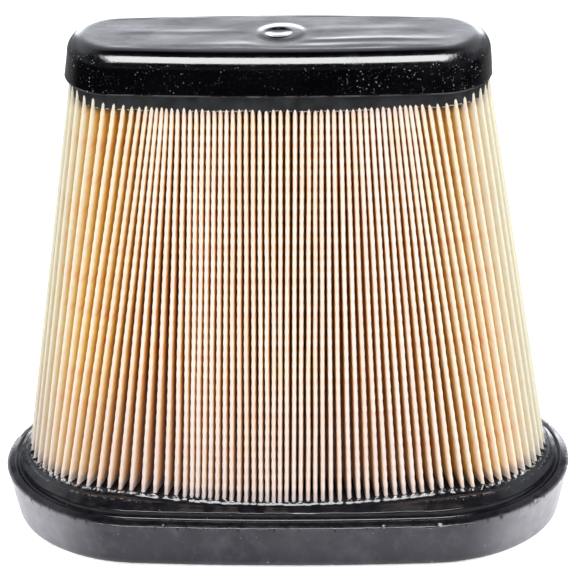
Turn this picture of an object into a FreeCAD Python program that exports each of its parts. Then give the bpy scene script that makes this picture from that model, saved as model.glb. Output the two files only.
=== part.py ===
import FreeCAD, Part
import math, os
from FreeCAD import Vector

# Tapered oval pleated-paper air filter cartridge, closed at the top and sealed
# on a wide moulded base flange.  Millimetres.  +X is the long way, +Z is up,
# and the origin is the centre of the flange's flat sealing face.
#
# Every plan outline is a four-arc oval: two end arcs centred on the X axis and
# two long side arcs tangent to them.  It is given as (half length, half depth,
# end radius).  An "inset" is a distance inwards from such an outline.

# --- base flange ---
FLANGE_OVAL = (102.5, 53.1, 51.4)       # at the rim's outer edge
FLANGE_SIDE_H = 17.8                    # height of the drafted outer side
FLANGE_DRAFT = 4.0                      # run-in of the side down to the sealing face
SEAL_EDGE_R = 1.0                       # rounding round the sealing face
RIM_CREST_IN, RIM_CREST_Z = 2.9, 19.3   # crest of the sloping rim
GROOVE_IN, GROOVE_Z = 4.4, 18.7         # groove between rim and collar
COLLAR_TOP_IN, COLLAR_Z = 7.9, 24.2     # where the collar's top flattens
FLANGE_BAND = 22.0                      # width of the swept outer band
RELIEF_IN, RELIEF_W, RELIEF_D = 15.0, 5.0, 2.2  # channel, in from the sealing face's edge
RELIEF_CORNER, RELIEF_CORNER_MID = 1.0, 0.3     # its rounded corners: size, arc mid point
MOUTH_FLARE, MOUTH_Z = 1.6, 1.5         # lead-in at the mouth of the outlet
MOUTH_CLEAR = 0.02

# --- top cap ---
CAP_OVAL = (75.1, 20.95, 18.85)
CAP_TOP_Z = 188.2
CAP_LIP_Z = 172.6                       # lower edge of the outer lip
CAP_TOP_R, CAP_LIP_R = 6.6, 0.5         # roundings of the top and lip edges
BAND_Z = 166.4                          # lower face of the recessed band under the lip
BAND_IN_TOP, BAND_IN_BOT = 0.9, 1.35
BAND_OVERLAP = 2.0                      # how far the band runs up into the cap
DIMPLE_X, DIMPLE_Y = -1.0, 1.0
DIMPLE_R, DIMPLE_D = 4.8, 2.2           # crater
DIMPLE_RING_R, DIMPLE_RING_H = 8.8, 0.6  # raised ring round it
DIMPLE_PLUG_D = 5.0                     # depth of the turned plug

# --- pleated paper ---
PACK_Z_BOT, PACK_Z_TOP = 24.3, 168.4    # reference planes of the pack
PACK_OVAL_BOT = (93.8, 44.4, 38.0)      # outer fold tips in each plane
PACK_OVAL_TOP = (74.6, 19.6, 17.8)
DEPTH_BOT, DEPTH_TOP = 22.0, 8.8        # pleat depth
PLEATS = 132                            # multiple of four, so tips sit on both axes
# First and last step of the change, pitch along the sides, pitch round the ends.
PITCH_BOT = (12, 17, 2.45, 4.20)
PITCH_TOP = (23, 31, 2.15, 4.80)
PAPER_T = 0.45
TIP_HALF, INNER_FOLD_HALF = 0.60, 0.5   # half widths of the outer and inner folds
MEDIA_Z0, MEDIA_Z1 = 12.0, 175.0        # ends buried in the flange and in the cap
FOOT_CUT_Z = COLLAR_Z + 4.0             # paper cut out of the flange up to here
HEAD_CUT_Z = BAND_Z - 4.0               # and out of the cap from here

# --- seam and its clip, in the middle of the +Y side ---
SEAM_DEPTH = 0.5                        # depth at which the two joined panels stop
SEAM_HALF, SEAM_INNER_HALF = 0.5, 0.05  # half widths across the panels' ends
CLIP_LEG, CLIP_T, CLIP_GAP = 5.0, 0.25, 0.02
CLIP_FACE_DEPTH = 0.2                   # depth of the clip's outer face
CLIP_Z0, CLIP_Z1 = 16.0, 172.0

# --- core ---
CORE_Z0, CORE_Z1 = 8.0, 172.4
CORE_GAP = 1.7                          # inner folds to the space for the core
CORE_CLEAR = 0.05
SCREEN_T, CAGE_T, PLATE_T, RING_T = 0.40, 2.2, 2.0, 2.0
PLATE_Z1 = CORE_Z1 + PLATE_T
# Insets from the inner folds.
SCREEN_IN = CORE_GAP + CORE_CLEAR
CAGE_IN = SCREEN_IN + SCREEN_T + CORE_CLEAR
CAGE_BORE_IN = CAGE_IN + CAGE_T
NECK_IN = CAGE_BORE_IN + 0.1

WINDOW_ROWS, WINDOW_Z0, WINDOW_H, WINDOW_PITCH_Z = 5, 30.0, 23.0, 27.0
SIDE_WINDOW_W, SIDE_WINDOW_PITCH = 9.4, 12.6    # windows through the sides, along X
END_WINDOW_W, END_WINDOW_Y = 4.4, 4.0           # pairs of windows through the ends
SIDE_CUT_LEN, END_CUT_LEN = 90, 220             # long enough to pass through the cage

SPIGOT_GAP, SPIGOT_T, SPIGOT_H = 0.15, 1.6, 3.0  # wall under the top plate
RIB_W, RIB_H, RIB_PITCH = 1.4, 2.2, 20.0         # ribs across the spigot
RIB_BOX_IN, RIB_TRIM_IN = CAGE_BORE_IN + 1.0, CAGE_BORE_IN + 0.9

FOOT_T = 2.4                            # outlet ring's foot under the core
NECK_Z0, RING_Z1 = 1.5, 20.0
NECK_OVERLAP = 0.4                      # lower neck into the foot


# --- four-arc oval ---
class Oval:
    def __init__(self, half_length, half_depth, end_r):
        self.half_length, self.half_depth, self.end_r = half_length, half_depth, end_r
        self.end_x = half_length - end_r            # end arc centre, on X
        self.side_r = ((self.end_x ** 2 + half_depth ** 2 - end_r ** 2)
                       / (2.0 * (half_depth - end_r)))
        self.side_y = half_depth - self.side_r      # +Y side arc centre, on Y
        self.joint = math.atan2(-self.side_y, self.end_x)   # normal angle at the joint
        self.side_len = self.side_r * (math.pi / 2 - self.joint)    # within a quarter
        self.quarter = self.side_len + end_r * self.joint

    def inset(self, distance):
        return Oval(self.half_length - distance, self.half_depth - distance,
                    self.end_r - distance)

    def at(self, position):
        """Point, inward normal and radius at an arc length counted from the
        middle of the +Y side towards +X."""
        position = position % (4.0 * self.quarter)
        quadrant = int(position // self.quarter) % 4
        along = position - quadrant * self.quarter
        if quadrant in (1, 3):
            along = self.quarter - along
        if along <= self.side_len:
            angle = math.pi / 2 - along / self.side_r
            centre_x, centre_y, radius = 0.0, self.side_y, self.side_r
        else:
            angle = self.joint - (along - self.side_len) / self.end_r
            centre_x, centre_y, radius = self.end_x, 0.0, self.end_r
        cos, sin = math.cos(angle), math.sin(angle)
        sign_x = 1 if quadrant in (0, 1) else -1
        sign_y = 1 if quadrant in (0, 3) else -1
        return (sign_x * (centre_x + radius * cos), sign_y * (centre_y + radius * sin),
                -sign_x * cos, -sign_y * sin, radius)

    def wire(self, z):
        x = self.end_x + self.end_r * math.cos(self.joint)
        y = self.end_r * math.sin(self.joint)
        joints = [Vector(x, y, z), Vector(-x, y, z), Vector(-x, -y, z), Vector(x, -y, z)]
        middles = [Vector(0, self.half_depth, z), Vector(-self.half_length, 0, z),
                   Vector(0, -self.half_depth, z), Vector(self.half_length, 0, z)]
        return Part.Wire([Part.Arc(joints[i], middles[i], joints[(i + 1) % 4]).toShape()
                          for i in range(4)])

    def prism(self, z0, z1):
        return Part.Face(self.wire(z0)).extrude(Vector(0, 0, z1 - z0))


def frustum(oval0, z0, oval1, z1):
    """Straight-sided solid between two ovals."""
    return Part.makeLoft([oval0.wire(z0), oval1.wire(z1)], True, True)


def swept_ring(oval, profile):
    """Carry a closed section round an oval.  A section entry is (inset, z), the
    end of a line, or (inset, z, inset, z), an arc's mid point and end."""
    def sector(centre_x, centre_y, radius, start, end):
        def place(inset, z):
            return Vector(radius - inset, 0, z)

        edges = []
        current = place(*profile[0])
        for entry in profile[1:] + [profile[0]]:
            target = place(*entry[-2:])
            if len(entry) == 4:
                edges.append(Part.Arc(current, place(*entry[:2]), target).toShape())
            else:
                edges.append(Part.makeLine(current, target))
            current = target
        face = Part.Face(Part.Wire(edges))
        face.rotate(Vector(0, 0, 0), Vector(0, 0, 1), math.degrees(start))
        face.translate(Vector(centre_x, centre_y, 0))
        return face.revolve(Vector(centre_x, centre_y, 0), Vector(0, 0, 1),
                            math.degrees(end - start))

    joint = oval.joint
    sectors = [sector(oval.end_x, 0, oval.end_r, -joint, joint),
               sector(0, oval.side_y, oval.side_r, joint, math.pi - joint),
               sector(-oval.end_x, 0, oval.end_r, math.pi - joint, math.pi + joint),
               sector(0, -oval.side_y, oval.side_r, math.pi + joint, 2 * math.pi - joint)]
    return sectors[0].fuse(sectors[1:]).removeSplitter()


def pack_fraction(z):
    """0 at the pack's lower reference plane, 1 at the upper one."""
    return (z - PACK_Z_BOT) / (PACK_Z_TOP - PACK_Z_BOT)


# --- pleated paper and seam clip ---
def tip_positions(oval, pitch_law):
    """Arc positions of the outer fold tips, close together along the sides and
    fanned out round the ends.  The last one closes the loop."""
    first, last, side_pitch, end_pitch = pitch_law
    steps = []
    for i in range(PLEATS // 4):
        u = min(1.0, max(0.0, (i + 0.5 - first) / float(last - first)))
        steps.append(side_pitch + (end_pitch - side_pitch) * u * u * (3 - 2 * u))
    scale = oval.quarter / sum(steps)
    steps = [step * scale for step in steps]
    positions = [0.0]
    for step in (steps + steps[::-1]) * 2:
        positions.append(positions[-1] + step)
    return positions


def pack_point(oval, position, sideways, depth):
    """Point at an arc position, moved sideways by a true width and inwards."""
    radius = oval.at(position)[4]
    x, y, normal_x, normal_y, _ = oval.at(position + sideways * radius / (radius - depth))
    return (x + normal_x * depth, y + normal_y * depth)


def strip_outline(oval, tips, depth):
    """Folded strip in one plane: along its outer face, then back along the inner."""
    loop_end = tips[-1]
    middles = [0.5 * (tips[k] + tips[k + 1]) for k in range(PLEATS)]
    places = [(0.0, SEAM_HALF, SEAM_DEPTH)]     # position, sideways, depth
    for k in range(PLEATS):
        places.append((middles[k], 0.0, depth - PAPER_T))
        if k < PLEATS - 1:
            places.append((tips[k + 1], -TIP_HALF, 0.0))
            places.append((tips[k + 1], TIP_HALF, 0.0))
    places.append((loop_end, -SEAM_HALF, SEAM_DEPTH))
    places.append((loop_end, -SEAM_INNER_HALF, SEAM_DEPTH))
    for k in range(PLEATS - 1, -1, -1):
        places.append((middles[k], INNER_FOLD_HALF, depth))
        places.append((middles[k], -INNER_FOLD_HALF, depth))
        if k > 0:
            places.append((tips[k], 0.0, PAPER_T))
    places.append((0.0, SEAM_INNER_HALF, SEAM_DEPTH))
    return [pack_point(oval, *place) for place in places]


def clip_outline(oval, tips, depth):
    """Channel that straddles the two panels at the seam, in one plane."""
    half_step = 0.5 * (tips[1] - tips[0])
    leg_half = SEAM_HALF + ((half_step - SEAM_HALF) * (CLIP_LEG - SEAM_DEPTH)
                            / (depth - PAPER_T - SEAM_DEPTH))
    outside = CLIP_GAP + CLIP_T
    places = [(-(leg_half + outside), CLIP_LEG),    # sideways, depth
              (-(SEAM_HALF + outside), CLIP_FACE_DEPTH),
              (SEAM_HALF + outside, CLIP_FACE_DEPTH),
              (leg_half + outside, CLIP_LEG),
              (leg_half + CLIP_GAP, CLIP_LEG),
              (SEAM_HALF + CLIP_GAP, SEAM_DEPTH - CLIP_GAP),
              (-(SEAM_HALF + CLIP_GAP), SEAM_DEPTH - CLIP_GAP),
              (-(leg_half + CLIP_GAP), CLIP_LEG)]
    return [pack_point(oval, 0, *place) for place in places]


def ruled(outlines, z0, z1):
    """Solid through the pair of reference-plane outlines, from z0 to z1."""
    wires = []
    for z in (z0, z1):
        k = pack_fraction(z)
        points = [Vector(bot[0] + (top[0] - bot[0]) * k, bot[1] + (top[1] - bot[1]) * k, z)
                  for bot, top in zip(*outlines)]
        wires.append(Part.makePolygon(points + [points[0]]))
    return Part.makeLoft(wires, True, True)


pack_bot, pack_top = Oval(*PACK_OVAL_BOT), Oval(*PACK_OVAL_TOP)
planes = [(pack_bot, tip_positions(pack_bot, PITCH_BOT), DEPTH_BOT),
          (pack_top, tip_positions(pack_top, PITCH_TOP), DEPTH_TOP)]
strip_outlines = [strip_outline(*plane) for plane in planes]
clip_outlines = [clip_outline(*plane) for plane in planes]
seam_clip = ruled(clip_outlines, CLIP_Z0, CLIP_Z1)

# --- bore of the pack ---
fold_bot, fold_top = pack_bot.inset(DEPTH_BOT), pack_top.inset(DEPTH_TOP)


def bore(inset, z):
    """Oval of the inner folds at height z, moved in by inset."""
    k = pack_fraction(z)

    def between(bot, top):
        return bot + (top - bot) * k - inset

    return Oval(between(fold_bot.half_length, fold_top.half_length),
                between(fold_bot.half_depth, fold_top.half_depth),
                between(fold_bot.end_r, fold_top.end_r))


def bore_solid(inset, z0, z1):
    return frustum(bore(inset, z0), z0, bore(inset, z1), z1)


neck = bore(NECK_IN, CORE_Z0)


# --- core ---
def core_tube(inset, wall):
    return bore_solid(inset, CORE_Z0, CORE_Z1).cut(
        bore_solid(inset + wall, CORE_Z0 - 1, CORE_Z1 + 1))


def make_core_cage():
    cutters = []
    for row in range(WINDOW_ROWS):
        z = WINDOW_Z0 + WINDOW_PITCH_Z * row
        for i in range(-4, 5):
            cutters.append(Part.makeBox(
                SIDE_WINDOW_W, SIDE_CUT_LEN, WINDOW_H,
                Vector(i * SIDE_WINDOW_PITCH - SIDE_WINDOW_W / 2, -SIDE_CUT_LEN / 2, z)))
        for y in (-END_WINDOW_Y, END_WINDOW_Y):
            cutters.append(Part.makeBox(
                END_CUT_LEN, END_WINDOW_W, WINDOW_H,
                Vector(-END_CUT_LEN / 2, y - END_WINDOW_W / 2, z)))
    return core_tube(CAGE_IN, CAGE_T).cut(Part.makeCompound(cutters))


def make_core_top_plate():
    """Plate on top of the core, with a spigot and cross ribs inside the cage."""
    spigot_in = CAGE_BORE_IN + SPIGOT_GAP
    spigot = bore(spigot_in, CORE_Z1).prism(CORE_Z1 - SPIGOT_H, CORE_Z1).cut(
        bore(spigot_in + SPIGOT_T, CORE_Z1).prism(CORE_Z1 - SPIGOT_H - 1.0, CORE_Z1 + 0.5))
    plate = bore_solid(SCREEN_IN, CORE_Z1, PLATE_Z1).fuse(spigot)
    rib_reach = bore(RIB_BOX_IN, CORE_Z1).half_depth
    trim = bore(RIB_TRIM_IN, CORE_Z1).prism(CORE_Z1 - SPIGOT_H, CORE_Z1 + 1.0)
    for i in range(-2, 3):
        rib = Part.makeBox(RIB_W, 2 * rib_reach, RIB_H,
                           Vector(i * RIB_PITCH - RIB_W / 2, -rib_reach, CORE_Z1 - RIB_H))
        plate = plate.fuse(rib.common(trim))
    return plate.removeSplitter()


def make_outlet_ring():
    """Ring that lines the outlet and carries the foot of the cage."""
    foot_z = CORE_Z0 - FOOT_T
    foot = bore(SCREEN_IN, CORE_Z0).prism(foot_z, CORE_Z0 - CORE_CLEAR)
    upper_neck = bore_solid(NECK_IN, foot_z, RING_Z1)
    lower_neck = neck.prism(NECK_Z0, foot_z + NECK_OVERLAP)
    ring = foot.fuse([upper_neck, lower_neck])
    opening = bore(NECK_IN, RING_Z1).inset(RING_T).prism(-1, RING_Z1 + 2)
    return ring.cut(opening).removeSplitter()


# --- mouldings, closed round the ends of the paper and the clip ---
def make_base_flange():
    flange_oval = Oval(*FLANGE_OVAL)
    profile = [     # inset, z; or arc mid inset, z, then end inset, z
        (FLANGE_DRAFT + 0.9 * SEAL_EDGE_R, 0.0),
        (FLANGE_DRAFT + 0.22 * SEAL_EDGE_R, 0.28 * SEAL_EDGE_R,
         FLANGE_DRAFT - 0.22 * SEAL_EDGE_R, SEAL_EDGE_R),
        (0.22, FLANGE_SIDE_H - 0.5),
        (0.05, FLANGE_SIDE_H - 0.15, 0.35, FLANGE_SIDE_H),
        (RIM_CREST_IN - 0.25, RIM_CREST_Z - 0.05),
        (RIM_CREST_IN, RIM_CREST_Z + 0.02, RIM_CREST_IN + 0.2, RIM_CREST_Z - 0.12),
        (GROOVE_IN - 0.5, GROOVE_Z + 0.05),
        (GROOVE_IN, GROOVE_Z - 0.05, GROOVE_IN + 0.4, GROOVE_Z + 0.5),
        (5.15, 21.4),
        (5.75, 23.3, COLLAR_TOP_IN, COLLAR_Z),
        (FLANGE_BAND, COLLAR_Z),
        (FLANGE_BAND, 0.0)]
    flange = swept_ring(flange_oval, profile)
    flange = flange.fuse(flange_oval.inset(FLANGE_BAND).prism(0.0, COLLAR_Z)).removeSplitter()

    near, far = RELIEF_IN - RELIEF_W / 2.0, RELIEF_IN + RELIEF_W / 2.0
    corner, mid = RELIEF_CORNER, RELIEF_CORNER_MID
    relief = swept_ring(flange_oval.inset(FLANGE_DRAFT), [
        (near, -1.0),
        (near, RELIEF_D - corner),
        (near + mid, RELIEF_D - mid, near + corner, RELIEF_D),
        (far - corner, RELIEF_D),
        (far - mid, RELIEF_D - mid, far, RELIEF_D - corner),
        (far, -1.0)])
    flange = flange.cut(relief)
    flange = flange.cut(bore_solid(CORE_GAP, CORE_Z0 - FOOT_T - CORE_CLEAR, COLLAR_Z + 5))
    outlet = neck.inset(-MOUTH_CLEAR)
    flange = flange.cut(outlet.prism(-1, CORE_Z0))
    flange = flange.cut(frustum(neck.inset(-MOUTH_FLARE), -0.01, outlet, MOUTH_Z))
    return flange.cut(ruled(strip_outlines, MEDIA_Z0, FOOT_CUT_Z)).cut(seam_clip)


def round_edges_at(shape, z, radius):
    edges = [edge for edge in shape.Edges
             if abs(edge.BoundBox.ZMin - z) < 1e-4 and abs(edge.BoundBox.ZMax - z) < 1e-4]
    return shape.makeFillet(radius, edges)


def make_dimple_plug(plug_z):
    """Turned plug on the Z axis: a soft raised ring round a shallow crater."""
    crest_r = 0.5 * (DIMPLE_R + DIMPLE_RING_R)
    stations = [    # radius, height above the cap's top
        (DIMPLE_RING_R, 0.0),
        (0.5 * (crest_r + DIMPLE_RING_R), 0.45 * DIMPLE_RING_H),
        (crest_r, DIMPLE_RING_H),
        (0.5 * (crest_r + DIMPLE_R), 0.8 * DIMPLE_RING_H),
        (DIMPLE_R, -0.05 * DIMPLE_D),
        (0.68 * DIMPLE_R, -0.62 * DIMPLE_D),
        (0.40 * DIMPLE_R, -0.93 * DIMPLE_D),
        (0.15 * DIMPLE_R, -DIMPLE_D)]
    points = [Vector(radius, 0, CAP_TOP_Z + height) for radius, height in stations]
    curve = Part.BSplineCurve()
    curve.interpolate(Points=points, Tangents=[Vector(-1, 0, 0.1), Vector(-1, 0, 0)])
    corners = [points[-1], Vector(0, 0, CAP_TOP_Z - DIMPLE_D), Vector(0, 0, plug_z),
               Vector(DIMPLE_RING_R, 0, plug_z), points[0]]
    edges = [curve.toShape()]
    edges += [Part.makeLine(start, end) for start, end in zip(corners, corners[1:])]
    return Part.Face(Part.Wire(edges)).revolve(Vector(0, 0, 0), Vector(0, 0, 1), 360)


def make_top_cap():
    cap_oval = Oval(*CAP_OVAL)
    cap = cap_oval.prism(CAP_LIP_Z, CAP_TOP_Z)
    cap = round_edges_at(cap, CAP_TOP_Z, CAP_TOP_R)
    cap = round_edges_at(cap, CAP_LIP_Z, CAP_LIP_R)
    cap = cap.fuse(frustum(cap_oval.inset(BAND_IN_BOT), BAND_Z,
                           cap_oval.inset(BAND_IN_TOP), CAP_LIP_Z + BAND_OVERLAP))
    plug_z = CAP_TOP_Z - DIMPLE_PLUG_D
    plug = make_dimple_plug(plug_z)
    hole = Part.makeCylinder(DIMPLE_RING_R, 20, Vector(0, 0, plug_z))
    for shape in (plug, hole):
        shape.translate(Vector(DIMPLE_X, DIMPLE_Y, 0))
    cap = cap.cut(hole).fuse(plug).removeSplitter()
    cap = cap.cut(bore_solid(CORE_GAP, BAND_Z - 5, PLATE_Z1))
    return cap.cut(ruled(strip_outlines, HEAD_CUT_Z, MEDIA_Z1)).cut(seam_clip)


pieces = {
    "top_cap": make_top_cap(),
    "base_flange": make_base_flange(),
    "pleated_media": ruled(strip_outlines, MEDIA_Z0, MEDIA_Z1),
    "media_seam_clip": seam_clip,
    "support_screen": core_tube(SCREEN_IN, SCREEN_T),
    "core_cage": make_core_cage(),
    "core_top_plate": make_core_top_plate(),
    "outlet_ring": make_outlet_ring(),
}
os.makedirs("parts", exist_ok=True)
for name, shape in pieces.items():
    # Cutting the paper out of a moulding can leave slivers; keep the main solid.
    solid = max(shape.Solids, key=lambda candidate: candidate.Volume)
    solid.exportStep("parts/" + name + ".step")
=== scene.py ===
# Oval, tapered filter element standing on z = 0, its long axis along X and its front facing -Y.
# From the bottom up: a moulded base flange, a pack of folded paper round a core in a woven
# wire sleeve, and a moulded cap. Shapes are worked out in millimetres and built in metres.
import math

import bmesh
import bpy
import numpy as np
from mathutils import Matrix, Vector


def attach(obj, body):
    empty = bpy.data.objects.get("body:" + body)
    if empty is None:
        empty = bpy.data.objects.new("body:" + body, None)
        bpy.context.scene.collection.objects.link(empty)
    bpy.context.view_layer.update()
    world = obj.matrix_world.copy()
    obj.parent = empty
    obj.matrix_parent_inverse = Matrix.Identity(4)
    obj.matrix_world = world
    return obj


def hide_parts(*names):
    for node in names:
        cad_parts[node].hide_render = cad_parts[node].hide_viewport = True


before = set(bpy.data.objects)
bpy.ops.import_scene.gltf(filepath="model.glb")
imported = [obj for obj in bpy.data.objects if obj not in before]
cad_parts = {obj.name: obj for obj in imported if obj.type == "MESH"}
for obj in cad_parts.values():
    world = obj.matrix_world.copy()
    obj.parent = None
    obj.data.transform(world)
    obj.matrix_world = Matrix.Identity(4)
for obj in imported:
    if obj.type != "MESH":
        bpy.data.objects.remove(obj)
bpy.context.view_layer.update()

MM = 0.001

# ---------------------------------------------------------------------------
# Driving dimensions, millimetres
# ---------------------------------------------------------------------------
Z_BOT, Z_TOP = 24.3, 168.4               # heights of the pack's two governing ovals
# half length, half width, end radius of the ovals through the fold tips
PACK_BOT, PACK_TOP = (93.8, 44.4, 38.0), (74.6, 19.6, 17.8)
DEPTH_BOT, DEPTH_TOP = 22.0, 8.8         # depth of the folds
PLEATS = 132
PAPER_T = 0.45
PAPER_Z0, PAPER_Z1 = 12.0, 175.0
LAND = 0.5                               # depth of the strip's two end edges
FOLD_HALF = 0.67                         # half width of a fold near its tip
CORE_GAP = 1.7                           # clearance between the pack and the core
RIPPLE = 4.12                            # height of one emboss ripple in the paper
RIPPLE_SWING = 0.085                     # sideways swing of a ripple

# Fold pitch, (fold number, relative pitch). The back quarters count from the middle of the
# +Y side; the front half counts its 66 folds from the +X end round to the -X end.
BACK_BOT = [(0, 2.45), (12, 2.45), (17, 4.2), (33, 4.2)]
BACK_TOP = [(0, 2.15), (23, 2.15), (31, 4.8), (33, 4.8)]
FRONT_BOT = [
    (0, 5.56), (4, 4.27), (8, 3.72), (12, 3.96), (16, 3.38), (20, 3.27), (24, 3.42),
    (28, 2.68), (31, 2.55), (34, 2.21), (38, 2.71), (42, 2.55), (46, 2.13), (49, 4.06),
    (51, 4.48), (53, 4.22), (56, 4.01), (60, 3.67), (63, 4.45), (66, 6.56)]
FRONT_TOP = [
    (0, 3.39), (4, 3.96), (8, 3.06), (12, 1.73), (16, 2.04), (20, 2.06), (24, 2.28),
    (28, 2.13), (31, 2.60), (34, 2.45), (38, 2.37), (42, 2.09), (46, 2.15), (49, 2.20),
    (51, 1.69), (53, 1.66), (56, 2.45), (60, 4.03), (63, 4.17), (66, 3.24)]


# ---------------------------------------------------------------------------
# Ovals and curves
# ---------------------------------------------------------------------------
class Oval:
    """Four tangent arcs about the origin: wide side arcs across Y, tighter end arcs across X."""

    def __init__(self, half_length, half_width, end_radius):
        self.end_r = min(end_radius, half_width - 0.05)
        self.end_x = half_length - self.end_r
        self.side_r = ((self.end_x ** 2 + half_width * half_width - self.end_r * self.end_r)
                       / (2.0 * (half_width - self.end_r)))
        self.side_y = half_width - self.side_r
        self.join = math.atan2(-self.side_y, self.end_x)     # angle where the arcs meet
        self.side_length = self.side_r * (math.pi / 2 - self.join)
        self.quarter = self.side_length + self.end_r * self.join

    def at(self, along):
        """x, y, inward x, inward y and arc radius, a length on from the middle of +Y to +X."""
        along = np.mod(np.asarray(along, float), 4 * self.quarter)
        part = np.minimum((along // self.quarter).astype(int), 3)
        run = along - part * self.quarter
        run = np.where((part == 1) | (part == 3), self.quarter - run, run)
        side = run <= self.side_length
        angle = np.where(side, math.pi / 2 - run / self.side_r,
                         self.join - (run - self.side_length) / self.end_r)
        radius = np.where(side, self.side_r, self.end_r)
        x = np.where(side, 0.0, self.end_x) + radius * np.cos(angle)
        y = np.where(side, self.side_y, 0.0) + radius * np.sin(angle)
        sign_x = np.where(part <= 1, 1.0, -1.0)
        sign_y = np.where((part == 0) | (part == 3), 1.0, -1.0)
        return sign_x * x, sign_y * y, -sign_x * np.cos(angle), -sign_y * np.sin(angle), radius

    def foot(self, x, y):
        """Arc centre, outward direction and radius for the arc that faces (x, y)."""
        abs_x, abs_y = np.abs(x), np.abs(y)
        side = np.arctan2(abs_y - self.side_y, abs_x) >= self.join
        centre_x = np.where(side, 0.0, self.end_x)
        centre_y = np.where(side, self.side_y, 0.0)
        radius = np.where(side, self.side_r, self.end_r)
        out_x, out_y = abs_x - centre_x, abs_y - centre_y
        length = np.hypot(out_x, out_y)
        sign_x, sign_y = np.where(x < 0, -1.0, 1.0), np.where(y < 0, -1.0, 1.0)
        return (centre_x * sign_x, centre_y * sign_y,
                out_x / length * sign_x, out_y / length * sign_y, radius)

    def inset(self, x, y, distance, z):
        """Points facing (x, y), a distance inside the oval, at height z."""
        centre_x, centre_y, out_x, out_y, radius = self.foot(x, y)
        reach = radius - distance
        return np.column_stack([centre_x + reach * out_x, centre_y + reach * out_y,
                                np.broadcast_to(z, x.shape)])


OVAL_BOT, OVAL_TOP = Oval(*PACK_BOT), Oval(*PACK_TOP)


def height_share(z):
    return (z - Z_BOT) / (Z_TOP - Z_BOT)


def bore(gap, z):
    """Oval through the inner folds of the pack at height z, brought in by gap."""
    sizes = []
    for pack_bot, pack_top in zip(PACK_BOT, PACK_TOP):
        low, high = pack_bot - DEPTH_BOT, pack_top - DEPTH_TOP
        sizes.append(low + (high - low) * height_share(z) - gap)
    return Oval(*sizes)


def fold_stations(oval, back, front):
    """Lengths along the oval at which the folds stand, seam to seam."""
    pitches = []
    for law, folds, flip in ((back, PLEATS // 4, False), (front, PLEATS // 2, False),
                             (back, PLEATS // 4, True)):
        number, pitch = zip(*law)
        widths = np.interp(np.arange(folds) + 0.5, number, pitch)
        widths *= oval.quarter * folds / (PLEATS // 4) / widths.sum()
        pitches.append(widths[::-1] if flip else widths)
    return np.concatenate([[0.0], np.cumsum(np.concatenate(pitches))])


STATIONS_BOT = fold_stations(OVAL_BOT, BACK_BOT, FRONT_BOT)
STATIONS_TOP = fold_stations(OVAL_TOP, BACK_TOP, FRONT_TOP)


def smooth(start, end, value):
    """0 at start to 1 at end, eased at both."""
    share = np.clip((value - start) / (end - start), 0, 1)
    return share * share * (3 - 2 * share)


def bell(value, centre, width):
    return np.exp(-((value - centre) / width) ** 2)


# ---------------------------------------------------------------------------
# Mesh building
# ---------------------------------------------------------------------------
class Builder:
    """Collects points, in millimetres, and faces for one object."""

    def __init__(self):
        self.points, self.faces, self.count, self.attributes = [], [], 0, {}

    def add(self, points, **attributes):
        """Add points, with attributes (0 where not given), and return their numbers."""
        points = np.asarray(points, float).reshape(-1, 3)
        first = self.count
        for key in {**self.attributes, **attributes}:
            parts = self.attributes.setdefault(key, [np.zeros(first)])
            parts.append(np.broadcast_to(attributes.get(key, 0.0), (len(points),)))
        self.points.append(points)
        self.count += len(points)
        return np.arange(first, self.count)

    def quads(self, ring, other, closed=True):
        """Quads between two rings of the same count."""
        if closed:
            ring_next, other_next = np.roll(ring, -1), np.roll(other, -1)
        else:
            ring, other, ring_next, other_next = ring[:-1], other[:-1], ring[1:], other[1:]
        self.faces.extend(np.stack([ring, ring_next, other_next, other], 1).tolist())

    def loft(self, rings, closed=True):
        for ring, other in zip(rings[:-1], rings[1:]):
            self.quads(ring, other, closed)

    def thin_out(self, many, few, ratio):
        """Join closed ring `many` to ring `few`, which has one point for every `ratio`."""
        half = ratio // 2
        for j in range(len(few)):
            here, after = int(few[j]), int(few[(j + 1) % len(few)])
            run = [int(many[(j * ratio + i) % len(many)]) for i in range(ratio + 1)]
            for i in range(ratio):
                self.faces.append([run[i], run[i + 1], here if i < half else after])
            self.faces.append([run[half], after, here])

    def zipper(self, line, places, other, other_places):
        """Triangles between two open lines, taken in the order of their places."""
        i = j = 0
        while i < len(line) - 1 or j < len(other) - 1:
            if j == len(other) - 1 or (i < len(line) - 1
                                       and places[i + 1] <= other_places[j + 1]):
                self.faces.append([int(line[i]), int(line[i + 1]), int(other[j])])
                i += 1
            else:
                self.faces.append([int(line[i]), int(other[j + 1]), int(other[j])])
                j += 1

    def fan(self, ring, centre):
        for here, after in zip(ring, np.roll(ring, -1)):
            self.faces.append([int(here), int(after), int(centre)])

    def build(self, name):
        mesh = bpy.data.meshes.new(name)
        mesh.from_pydata((np.concatenate(self.points) * MM).tolist(), [], self.faces)
        for key, parts in self.attributes.items():
            layer = mesh.attributes.new(key, "FLOAT", "POINT")
            layer.data.foreach_set("value", np.concatenate(parts).astype(np.float32))
        work = bmesh.new()
        work.from_mesh(mesh)
        bmesh.ops.recalc_face_normals(work, faces=work.faces)
        work.to_mesh(mesh)
        work.free()
        mesh.validate()
        mesh.polygons.foreach_set("use_smooth", [True] * len(mesh.polygons))
        obj = bpy.data.objects.new(name, mesh)
        bpy.context.scene.collection.objects.link(obj)
        return obj


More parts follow.
